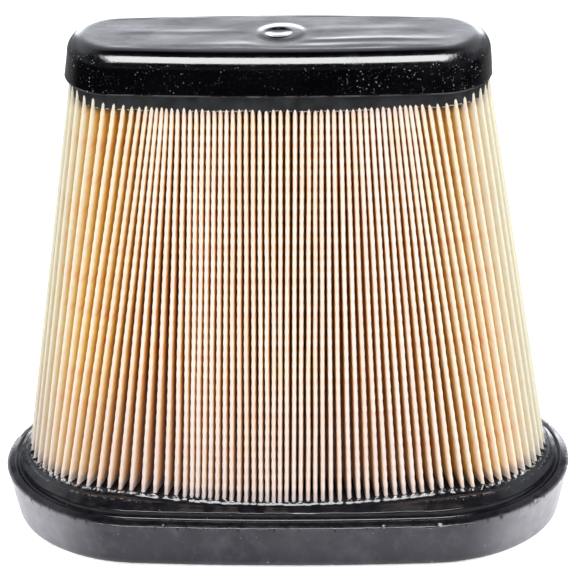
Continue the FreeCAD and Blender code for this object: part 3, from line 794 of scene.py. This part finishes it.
def build_flange():
    cols = Columns(OVAL_BOT, STATIONS_BOT, 8)
    builder = Builder()
    rows = []

    def row(inset, z, gloss=1.0, gleam=0.0, on=FLANGE):
        rows.append(builder.add(cols.on(on, inset, z), gloss=gloss, gleam=gleam))

    rim_in = cols.wave([9, 40, 170], [0.05, 0.05, 0.035], seed=1)
    rim_z = cols.wave([14, 60, 210], [0.05, 0.06, 0.05], seed=2)
    random = np.random.default_rng(21)
    nick = np.zeros_like(cols.around)
    for _ in range(26):                      # torn flash and small nicks along the rim
        place, width = random.uniform(0, 1), random.uniform(0.0006, 0.0022)
        distance = np.abs((cols.around - place + 0.5) % 1 - 0.5)
        nick = np.maximum(nick, random.uniform(0.2, 0.7) * bell(distance, 0.0, width))
    crease = cols.wave([7, 23, 61], [0.16, 0.16, 0.07], seed=3)
    crease_on = 0.5 + 0.5 * np.clip(cols.wave([11, 31], [0.7, 0.5], seed=4), -1, 1)
    bead = np.clip(0.55 + cols.wave([17, 55, 120], [0.5, 0.45, 0.3], seed=6), 0, 1)
    side_wave = cols.wave([5, 13], [0.06, 0.04], seed=8)
    climb = random.uniform(0.35, 1.25, PLEATS)[cols.fold]    # skin drawn up each fold
    # flash hanging over the side
    drip = np.clip(cols.wave([36, 110, 240], [0.5, 0.5, 0.4], seed=9), 0, 1)
    # one torn place in the flash, at the front toward +X, with a painted highlight in the tear
    rim = cols.on(FLANGE, 0.0, 0.0)
    tear = bell(rim[:, 0], 91.2, 0.75) * (rim[:, 1] < 0)
    whole = 1 - tear
    # soft ridge on the collar toward both ends, with a painted highlight along its top
    ridge = smooth(40.0, 60.0, np.abs(cols.x)) * np.clip(
        0.65 + cols.wave([13, 31], [0.5, 0.35], seed=12), 0, 1)

    def paper_gap(inset):
        """Distance in the plane from the paper."""
        deep = np.maximum(0.0, inset - TIP_INSET)
        half = FOLD_HALF + (0.5 * cols.pitch - FOLD_HALF) * deep / 21.5
        return np.hypot(np.maximum(0.0, cols.off_fold - half), max(0.0, TIP_INSET - inset))

    # how far in the fold tips really stand: the two ovals have different corners
    centre_x, centre_y, out_x, out_y, radius = FLANGE.foot(cols.x, cols.y)
    tip_in = radius - ((cols.x - centre_x) * out_x + (cols.y - centre_y) * out_y)

    def near(inset):
        """Nominal inset, stretched so that TIP_INSET always falls on the fold tips."""
        if inset > TIP_INSET:
            return inset + tip_in - TIP_INSET
        return (COLLAR_INSET + (inset - COLLAR_INSET) * (tip_in - COLLAR_INSET)
                / (TIP_INSET - COLLAR_INSET))

    def rise(inset):
        """Extra height that keeps the collar's slope where it has further to go."""
        return 0.42 * (near(inset) - inset)

    # from the underside up the drafted side
    for inset, z in FLANGE_FOOT:
        row(inset, z, gloss=0.0)
    for i in range(1, 8):
        share = i / 8.0
        row(SIDE_FOOT + (SIDE_HEAD - SIDE_FOOT) * share
            + side_wave * math.sin(math.pi * share), 1.0 + 16.3 * share, gloss=0.0)
    # the rough rim
    row(0.28, 16.9, gloss=drip ** 2 * 0.9)
    row(0.20 + rim_in - 0.10 * drip + 0.5 * tear, 17.2 - 1.5 * tear,
        gloss=0.9 * drip * whole, gleam=0.7 * tear)
    row(0.02 + rim_in + 0.5 * nick + 1.2 * tear,
        17.5 + rim_z * 0.5 - 0.25 * nick - 1.4 * tear,
        gloss=(0.25 + 0.6 * drip) * whole, gleam=tear)
    row(0.10 + rim_in + 0.7 * nick + 1.4 * tear, 17.82 + rim_z - 0.45 * nick - tear,
        gloss=(0.35 + 0.5 * drip) * whole, gleam=tear)
    row(0.55 + rim_in + 0.5 * nick + 1.2 * tear,
        17.95 + rim_z * 0.5 - 0.4 * nick - 0.5 * tear, gloss=0.85, gleam=0.5 * tear)
    row(1.1 + 0.8 * tear, 18.20 + rim_z * 0.15)
    # ledge and collar
    for inset, z in FLANGE_LEDGE:
        row(inset, z)
    for inset, pull, z, waviness in FLANGE_CREASE:
        row(inset - pull * crease_on, z + crease * waviness)
    for inset, z, waviness, ridge_height, ridge_gleam in FLANGE_COLLAR:
        row(near(inset), z + crease * waviness + rise(inset) + ridge_height * ridge,
            gleam=ridge_gleam * ridge)
    # in among the folds: the skin climbs the paper and dips between; painted highlights on the
    # bead and in crescents between the fanned folds
    fanned = smooth(38.0, 58.0, np.abs(cols.x)) * smooth(0.4, 0.9, paper_gap(8.75) + 0.35)
    for inset in FLANGE_FOLDS:
        gap = paper_gap(inset)
        slope = min(24.1, 22.86 + 0.55 * (inset - 7.8))
        lifted = 0.85 * climb * np.exp(-gap / 0.42) * (1.0 if inset > 8.5 else 0.55)
        z = slope + lifted - 0.25 * smooth(0.1, 0.8, gap) * (inset > 8.6)
        z = z + rise(min(inset, TIP_INSET)) * (1.0 if inset < 9.5 else 0.8)
        z = z + 0.30 * bead * bell(inset, 8.52, 0.16)
        row(near(inset), z,
            gleam=bead * bell(inset, 8.6, 0.13) + fanned * 0.9 * bell(inset, 8.85, 0.3))
    # down the bore, the neck, and back out across the underside
    row(0.0, 24.25, on=bore(0.2, 24.25))
    row(0.0, 24.2, on=bore(CORE_GAP, 24.2))
    for z in (18.0, 12.0, 5.55):
        row(0.0, z, gloss=0.5, on=bore(CORE_GAP, z))
    neck = bore(4.5, 8.0)
    for inset, z, gloss in FLANGE_NECK:
        row(inset, z, gloss=gloss, on=neck)
    for inset, z in FLANGE_UNDERSIDE:
        row(inset, z, gloss=0.0)
    builder.loft(rows + rows[:1])
    return builder.build("flange_moulding")


CAP = Oval(75.1, 20.95, 18.85)
POCKET_Z = 174.4                         # roof of the pocket over the core
CAP_FACE_Z = 166.55                      # face the paper comes out of
WALL_Z0, WALL_Z1 = 173.25, 181.6
CAP_EDGE = 6.6                           # radius of the rounded edge
CAP_Z = 188.2
DIMPLE_X, DIMPLE_Y = 1.0, -0.3           # middle of the ring round the dimple
FACE_REACH = 9.2                         # where the top face starts to open out from the ring

# (inset, z, share of the sagging edge, share of the drop at the folds, painted highlight)
CAP_SKIRT = [
    (1.45, 166.42, 1.0, 1.0, 0.0), (1.30, 166.55, 1.0, 0.8, 0.7), (1.26, 166.72, 1.0, 0.5, 0.9),
    (1.24, 166.92, 1.0, 0.4, 0.0), (1.22, 167.3, 0.8, 0.0, 0.0), (1.16, 168.4, 0.5, 0.0, 0.0),
    (1.05, 170.2, 0.0, 0.0, 0.0), (0.95, 171.7, 0.0, 0.0, 0.0)]
# (inset, share of the flare, share of the flash, z, share of the lip's waviness)
CAP_LIP = [
    (0.90, 0.3, 0, 172.35, 1.0), (0.72, 0.6, 0, 172.60, 1.0), (0.38, 1.0, 0, 172.58, 1.0),
    (0.06, 1.0, 1, 172.66, 1.0), (-0.06, 1.0, 1, 172.88, 1.0), (0.04, 1.0, 0, WALL_Z0, 0.7)]
# (radius along X, radius along Y, height): a rim drawn out sideways round a round dimple
DIMPLE = [
    (8.9, 8.4, 0.01), (8.6, 8.0, 0.03), (8.2, 7.5, 0.07), (7.8, 7.0, 0.12), (7.4, 6.6, 0.175),
    (6.95, 6.2, 0.225), (6.35, 5.8, 0.265), (5.75, 5.4, 0.290), (5.2, 5.08, 0.300),
    (4.75, 4.75, 0.29), (4.45, 4.5, 0.265), (4.1, 4.15, 0.21), (3.65, 3.7, 0.15),
    (3.1, 3.15, 0.045), (2.5, 2.55, -0.06), (1.9, 1.95, -0.145), (1.3, 1.3, -0.205),
    (0.65, 0.65, -0.235)]


def top_ripples(x, y):
    """Shallow ripples that set when the top was poured."""
    zone = smooth(9.0, 16.0, np.hypot(x - DIMPLE_X, y - DIMPLE_Y))
    ends = smooth(68.0, 46.0, np.abs(x))
    bent = y + 0.5 * np.sin(x / 17.0 + 0.6) + 0.4 * np.sin(x / 7.3)
    height = 0.100 * bell(bent, -5.5, 1.5) * smooth(-18.0, 12.0, x)
    height += 0.080 * bell(bent, -10.4, 1.7) * (0.55 + 0.45 * np.sin(x / 23.0 + 1.0))
    height += 0.050 * bell(bent, 3.4, 2.0) * (0.5 + 0.5 * np.sin(x / 19.0))
    height += 0.060 * bell(bent, 0.5, 1.6) * smooth(0.0, -30.0, x)
    height += 0.030 * np.sin(x / 13.0 + y / 4.0) + 0.020 * np.sin(x / 5.2 - y / 3.1)
    return height * zone * ends


def add_cap_top(builder, cols, edge_ring):
    """Close the cap: the flat top, from the edge in to the ring, then the dimple."""
    edge = cols.on(CAP, CAP_EDGE, CAP_Z)[::3]
    spokes = edge[:, :2] - [DIMPLE_X, DIMPLE_Y]
    length = np.hypot(spokes[:, 0], spokes[:, 1])
    spokes = spokes / length[:, None]
    steps = 34
    top = []
    for i in range(1, steps + 1):
        share = i / steps
        reach = FACE_REACH + (length - FACE_REACH) * (1 - share)
        x, y = DIMPLE_X + spokes[:, 0] * reach, DIMPLE_Y + spokes[:, 1] * reach
        z = CAP_Z + top_ripples(x, y) * float(smooth(0.0, 0.12, share))
        top.append(builder.add(np.column_stack([x, y, z])))
    builder.thin_out(edge_ring, top[0], 3)
    builder.loft(top)

    angle = np.arctan2(spokes[:, 1], spokes[:, 0])
    wobble = 1.0 + 0.02 * np.sin(2 * angle + 0.5) + 0.012 * np.sin(3 * angle)
    shift_x, shift_y = 0.9, 0.8              # the dimple sits a little off its rim's middle
    rings = [top[-1]]
    for radius_x, radius_y, height in DIMPLE:
        lean = 0.13 * spokes[:, 1] * radius_y * float(smooth(4.9, 3.9, radius_x))
        aside = float(smooth(7.4, 5.2, radius_x))
        rings.append(builder.add(np.column_stack([
            DIMPLE_X - shift_x * aside + spokes[:, 0] * radius_x * wobble,
            DIMPLE_Y - shift_y * aside + spokes[:, 1] * radius_y * wobble,
            CAP_Z + height - lean])))
    builder.loft(rings)
    bottom = builder.add([[DIMPLE_X - shift_x, DIMPLE_Y - shift_y, CAP_Z + DIMPLE[-1][2]]])
    builder.fan(rings[-1], bottom[0])


def build_cap():
    cols = Columns(OVAL_TOP, STATIONS_TOP, 6)
    builder = Builder()
    # roof of the pocket over the core
    pocket = cols.on(bore(CORE_GAP, POCKET_Z), 0.0, POCKET_Z)
    centre = builder.add([[0.0, 0.0, POCKET_Z]])
    roof = [builder.add(pocket[::3] * [share, share, 0] + [0, 0, POCKET_Z])
            for share in (0.15, 0.5, 0.85)]
    builder.fan(roof[0], centre[0])
    builder.loft(roof)
    rows = [builder.add(pocket)]
    builder.thin_out(rows[0], roof[-1], 3)

    def row(inset, z, gleam=0.0, on=CAP):
        rows.append(builder.add(cols.on(on, inset, z), gleam=gleam))

    # the lower edge sags toward +X
    sag = 0.9 * smooth(10.0, 66.0, cols.x) + cols.wave([6, 25, 80], [0.18, 0.16, 0.12], seed=31)
    sag = np.clip(sag, -0.05, 1.7)
    flash = cols.wave([12, 70, 190], [0.05, 0.05, 0.04], seed=32)
    lip_wave = cols.wave([3, 9, 40], [0.10, 0.05, 0.03], seed=33)
    bulge = cols.wave([3, 8, 17], [0.05, 0.05, 0.03], seed=34)
    climb = np.random.default_rng(35).uniform(0.2, 1.0, PLEATS)[cols.fold]
    flare = 0.75 * smooth(-50.0, -74.0, cols.x)              # lip drawn out at the -X end

    for z in (171.0, 166.6):
        row(0.0, z, on=bore(CORE_GAP, z))
    # face the paper comes out of, lifted and dipped between the folds
    for inset in (9.0, 6.0, 3.6, 2.2, 1.75):
        deep = max(0.0, inset - 1.2)
        half = FOLD_HALF + (0.5 * cols.pitch - FOLD_HALF) * deep / 8.4
        gap = np.maximum(0.0, cols.off_fold - half)
        row(inset, CAP_FACE_Z + sag * (1.0 if inset < 4 else 0.5)
            - 0.45 * climb * np.exp(-gap / 0.3) + 0.25 * smooth(0.05, 0.5, gap))
    drop = 0.35 * climb * np.exp(-np.maximum(0.0, cols.off_fold - 0.55) / 0.25)
    # the skirt, with painted highlights along it between the folds
    for inset, z, sag_share, drop_share, gleam in CAP_SKIRT:
        row(inset, z + sag * sag_share - drop * drop_share, gleam=gleam)
    for inset, flare_share, flash_share, z, waviness in CAP_LIP:
        row(inset - flare * flare_share + flash * flash_share, z + lip_wave * waviness)
    # wall
    for i in range(1, 9):
        share = i / 8.0
        row(0.04 - flare * (1 - share) ** 1.5 + 0.30 * share * share
            + bulge * math.sin(math.pi * share),
            WALL_Z0 + (WALL_Z1 - WALL_Z0) * share + lip_wave * 0.5 * (1 - share))
    # rounded edge, starting where the wall has drawn in
    for i in range(1, 13):
        angle = math.radians(90.0 * i / 12)
        row(CAP_EDGE - CAP_EDGE * math.cos(angle) + 0.34 * math.cos(angle),
            WALL_Z1 + CAP_EDGE * math.sin(angle))
    builder.loft(rows)
    add_cap_top(builder, cols, rows[-1])
    return builder.build("cap_moulding")


# ---------------------------------------------------------------------------
# Woven wire sleeve round the core
# ---------------------------------------------------------------------------
SLEEVE_GAP = CORE_GAP + 0.05 + 0.20
SLEEVE_Z0, SLEEVE_Z1 = 8.3, 172.0
UPRIGHTS, HOOPS = 96, 42
WIRE_RADIUS = 0.095
WEAVE = 0.10                             # swing of a wire in and out of the sleeve
HOOP_MARGIN, WIRE_END = 1.0, 0.9         # hoops to sleeve ends; uprights past the last hoops


def tube(builder, points, radius, closed):
    """Wire of square section along the points."""
    points = np.asarray(points, float)
    if closed:
        tangent = np.roll(points, -1, 0) - np.roll(points, 1, 0)
    else:
        tangent = np.gradient(points, axis=0)
    tangent /= np.linalg.norm(tangent, axis=1)[:, None]
    outward = points * [1, 1, 0]
    outward /= np.linalg.norm(outward, axis=1)[:, None] + 1e-9
    normal = outward - tangent * (outward * tangent).sum(1)[:, None]
    normal /= np.linalg.norm(normal, axis=1)[:, None]
    across = np.cross(tangent, normal)
    rings = [builder.add(point + radius * np.array([up, side, -up, -side]))
             for point, up, side in zip(points, normal, across)]
    builder.loft(rings + rings[:1] if closed else rings)
    if not closed:
        for ring in (rings[0], rings[-1]):
            builder.faces.append([int(number) for number in ring])


def build_screen():
    builder = Builder()
    hoop_z = np.linspace(SLEEVE_Z0 + HOOP_MARGIN, SLEEVE_Z1 - HOOP_MARGIN, HOOPS)
    middle = bore(SLEEVE_GAP, 90.0)

    def spread(count):
        return middle.at(np.linspace(0, 4 * middle.quarter, count, endpoint=False))[:2]

    def on_sleeve(x, y, swing, z):
        return bore(SLEEVE_GAP, z).inset(x, y, -swing, z)

    # uprights cross each hoop in turn outside and inside
    x, y = spread(UPRIGHTS)
    for i in range(UPRIGHTS):
        points = []
        for j in range(2 * HOOPS - 1):
            z = hoop_z[0] + (hoop_z[-1] - hoop_z[0]) * j / (2 * HOOPS - 2)
            swing = 0.0
            if j % 2 == 0:
                swing = WEAVE if (j // 2 + i) % 2 == 0 else -WEAVE
            points.append(on_sleeve(x[i:i + 1], y[i:i + 1], swing, z)[0])
        points = [points[0] - [0, 0, WIRE_END]] + points + [points[-1] + [0, 0, WIRE_END]]
        tube(builder, points, WIRE_RADIUS, closed=False)
    x, y = spread(2 * UPRIGHTS)
    for j in range(HOOPS):
        swing = np.zeros(2 * UPRIGHTS)
        swing[0::2] = [-WEAVE if (j + i) % 2 == 0 else WEAVE for i in range(UPRIGHTS)]
        tube(builder, on_sleeve(x, y, swing, hoop_z[j]), WIRE_RADIUS, closed=True)
    return builder.build("wire_screen")


# ---------------------------------------------------------------------------
# Assembly
# ---------------------------------------------------------------------------
def dress(obj, material):
    obj.data.materials.clear()
    obj.data.materials.append(material)


paper = build_paper()
flange = build_flange()
cap = build_cap()
screen = build_screen()

# (object, CAD piece it replaces, slot, material)
for obj, piece, slot, material in (
        (paper, "pleated_media", "filter_paper", paper_material()),
        (flange, "base_flange", "flange_polyurethane", flange_material()),
        (cap, "top_cap", "cap_polyurethane", cap_material()),
        (screen, "support_screen", "screen_wire",
         metal_material("screen_wire", colour=(0.62, 0.62, 0.60), roughness=0.34,
                        brushing=(1.0, 1.0, 1.0)))):
    dress(obj, material)
    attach(obj, "root")
    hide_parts(piece)

# CAD pieces that keep their shape
for piece, material in (
        ("media_seam_clip", metal_material("clip_steel", colour=(0.60, 0.60, 0.59),
                                           roughness=0.30, brushing=(4.0, 4.0, 0.15))),
        ("core_cage", plastic_material("cage_plastic", colour=(0.050, 0.050, 0.054),
                                       roughness=0.42, grain=0.9)),
        ("core_top_plate", plastic_material("plate_plastic", colour=(0.058, 0.058, 0.062),
                                            roughness=0.46, grain=0.8)),
        ("outlet_ring", plastic_material("ring_plastic", colour=(0.042, 0.042, 0.046),
                                         roughness=0.40, grain=1.1))):
    dress(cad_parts[piece], material)


# ---------------------------------------------------------------------------
# Floor, light and camera, metres
# ---------------------------------------------------------------------------
def floor_material():
    mat = bpy.data.materials.new("floor")
    mat.use_nodes = True
    mat.node_tree.nodes.clear()
    graph = Graph(mat.node_tree)
    rays = graph.node("LightPath").outputs
    geometry = graph.node("NewGeometry").outputs
    x, y, _ = graph.split(geometry["Position"])

    def distance(y_scale):
        """Distance from the middle of the floor, with Y stretched."""
        vector = graph.value("CombineXYZ", {0: x, 1: y * y_scale})
        return graph.value("VectorMath", {0: vector}, "Value", operation="LENGTH")

    def choose(share, first, second):
        return graph.value("MixShader", {0: share, 1: first, 2: second})

    # the camera sees a pale floor, brighter than the light that bounces off it
    matt = graph.value("BsdfDiffuse", {"Color": (0.80, 0.80, 0.80)})
    glow = graph.value("Emission", {"Strength": 0.55})
    surface = choose(rays["Is Camera Ray"], matt, graph.value("AddShader", {0: matt, 1: glow}))
    # what mirrors in the mouldings: dark in front, bright behind and close round the object
    behind = y.ease(over=(0.02, 0.30), to=(0.02, 0.35))
    close = distance(y_scale=1.5).ease(over=(0.30, 0.18), to=(0.02, 0.85))
    mirrored = graph.value("Emission", {"Strength": graph.maximum(behind, close)})
    surface = choose(rays["Is Glossy Ray"], surface, mirrored)
    # clear from below, and under the object, so that light comes up into the bore
    under = graph.math("LESS_THAN", distance(y_scale=1.93), 0.115)
    not_camera = graph.math("SUBTRACT", 1.0, rays["Is Camera Ray"])
    clear = graph.maximum(geometry["Backfacing"], under * not_camera)
    surface = choose(clear, surface, graph.value("BsdfTransparent"))
    graph.node("OutputMaterial", {"Surface": surface})
    return mat


def build_floor():
    half, z = 6.0, -0.0004
    mesh = bpy.data.meshes.new("floor")
    mesh.from_pydata([(-half, -half, z), (half, -half, z), (half, half, z), (-half, half, z)],
                     [], [(0, 1, 2, 3)])
    obj = bpy.data.objects.new("floor", mesh)
    bpy.context.scene.collection.objects.link(obj)
    mesh.materials.append(floor_material())


def build_world():
    """Studio surroundings for reflections, plain light for everything else."""
    world = bpy.data.worlds.new("studio")
    bpy.context.scene.world = world
    world.use_nodes = True
    world.cycles.sampling_method = "NONE"
    world.node_tree.nodes.clear()
    graph = Graph(world.node_tree)
    coords = graph.node("TexCoord").outputs["Generated"]
    x, y, z = graph.split(coords)
    # behind the object: (upward direction, level), bright low down and dark overhead
    levels = [(0.0, 0.85), (0.28, 0.80), (0.36, 0.36), (0.44, 0.17), (0.52, 0.15),
              (0.66, 0.12), (0.80, 0.09), (0.86, 0.05), (0.91, 0.0), (1.0, 0.0)]
    back_gain, side_level, diffuse_level = 10.0, 0.4, 0.50
    back = graph.ramp(z, [(place, (level,) * 3) for place, level in levels]) * back_gain
    low_sides = z.ease(over=(0.44, 0.36)) * abs(x).ease(over=(0.25, 0.45), to=(0.0, 0.9))
    back = back * (1.0 - low_sides)
    front = z.ease(over=(0.0, 0.35), to=(0.20, 0.03))
    is_back = y.ease(over=(-0.12, 0.12))
    level = back * is_back + front * (1.0 - is_back)
    sides = abs(x).ease(over=(0.80, 0.97)) * z.ease(over=(0.60, 0.35))
    level = level * (1.0 - sides) + sides * side_level

    rays = graph.node("LightPath").outputs
    glossy = Value(graph, rays["Is Glossy Ray"])
    camera = Value(graph, rays["Is Camera Ray"])
    camera_level = 1.0
    strength = level * glossy + camera * camera_level + (1.0 - glossy - camera) * diffuse_level
    plain, cool = (1, 1, 1), (0.95, 0.98, 1.06)
    background = graph.value("Background", {"Strength": strength,
                                            "Color": graph.mix(plain, cool, glossy)})
    graph.node("OutputWorld", {"Surface": background})


# name, place, target, size, second size, radiance, seen only in reflections (or only diffuse)
LIGHTS = [
    ("softbox", (0.0, -0.889, 1.19), (0.0, -0.889, 0.0), 1.15, 1.128, 18.0, True),
    ("key", (0.0, -0.75, 1.15), (0.0, 0.0, 0.05), 1.5, 1.0, 2.15, False),
    ("side_right", (1.05, -0.05, 0.32), (0.05, 0.0, 0.06), 0.9, 0.6, 3.6, False),
    ("side_left", (-1.05, -0.05, 0.32), (-0.05, 0.0, 0.06), 0.9, 0.6, 3.3, False),
    ("back", (0.0, 1.3, 0.7), (0.0, 0.0, 0.08), 1.6, 0.8, 2.5, False),
    ("fill", (0.80, -1.9, 0.50), (0.0, 0.0, 0.08), 1.2, 0.9, 1.9, False)]


def build_light(name, place, target, size, size_y, radiance, reflection_only):
    light = bpy.data.lights.new(name, "AREA")
    light.shape = "RECTANGLE"
    light.size, light.size_y = size, size_y
    light.energy = radiance * math.pi * size * size_y
    obj = bpy.data.objects.new(name, light)
    bpy.context.scene.collection.objects.link(obj)
    obj.location = place
    obj.rotation_mode = "QUATERNION"
    obj.rotation_quaternion = (Vector(target) - Vector(place)).to_track_quat("-Z", "Y")
    obj.visible_camera = False
    obj.visible_glossy = reflection_only
    obj.visible_diffuse = not reflection_only


def build_camera():
    """Long lens at the front, a little to +X and looking down."""
    target, distance = Vector((2.49, 0.0, 86.05)) * MM, 2.0
    turn, elevation, roll = math.radians(2.52), math.radians(27.06), math.radians(-1.25)
    data = bpy.data.cameras.new("camera")
    data.sensor_width = 36.0
    data.lens = 343.88
    data.clip_start, data.clip_end = 0.05, 20.0
    camera = bpy.data.objects.new("camera", data)
    bpy.context.scene.collection.objects.link(camera)
    back = Vector((math.sin(turn) * math.cos(elevation),
                   -math.cos(turn) * math.cos(elevation), math.sin(elevation)))
    level = (-back).cross(Vector((0, 0, 1))).normalized()
    upright = level.cross(-back)
    right = level * math.cos(roll) + upright * math.sin(roll)
    top = -level * math.sin(roll) + upright * math.cos(roll)
    matrix = Matrix((right, top, back)).transposed().to_4x4()
    matrix.translation = target + back * distance
    camera.matrix_world = matrix
    bpy.context.scene.camera = camera


build_floor()
build_world()
for light_row in LIGHTS:
    build_light(*light_row)
build_camera()

view = bpy.context.scene.view_settings
view.view_transform = "Standard"
view.look = "None"
view.exposure = 0.0
view.gamma = 1.0
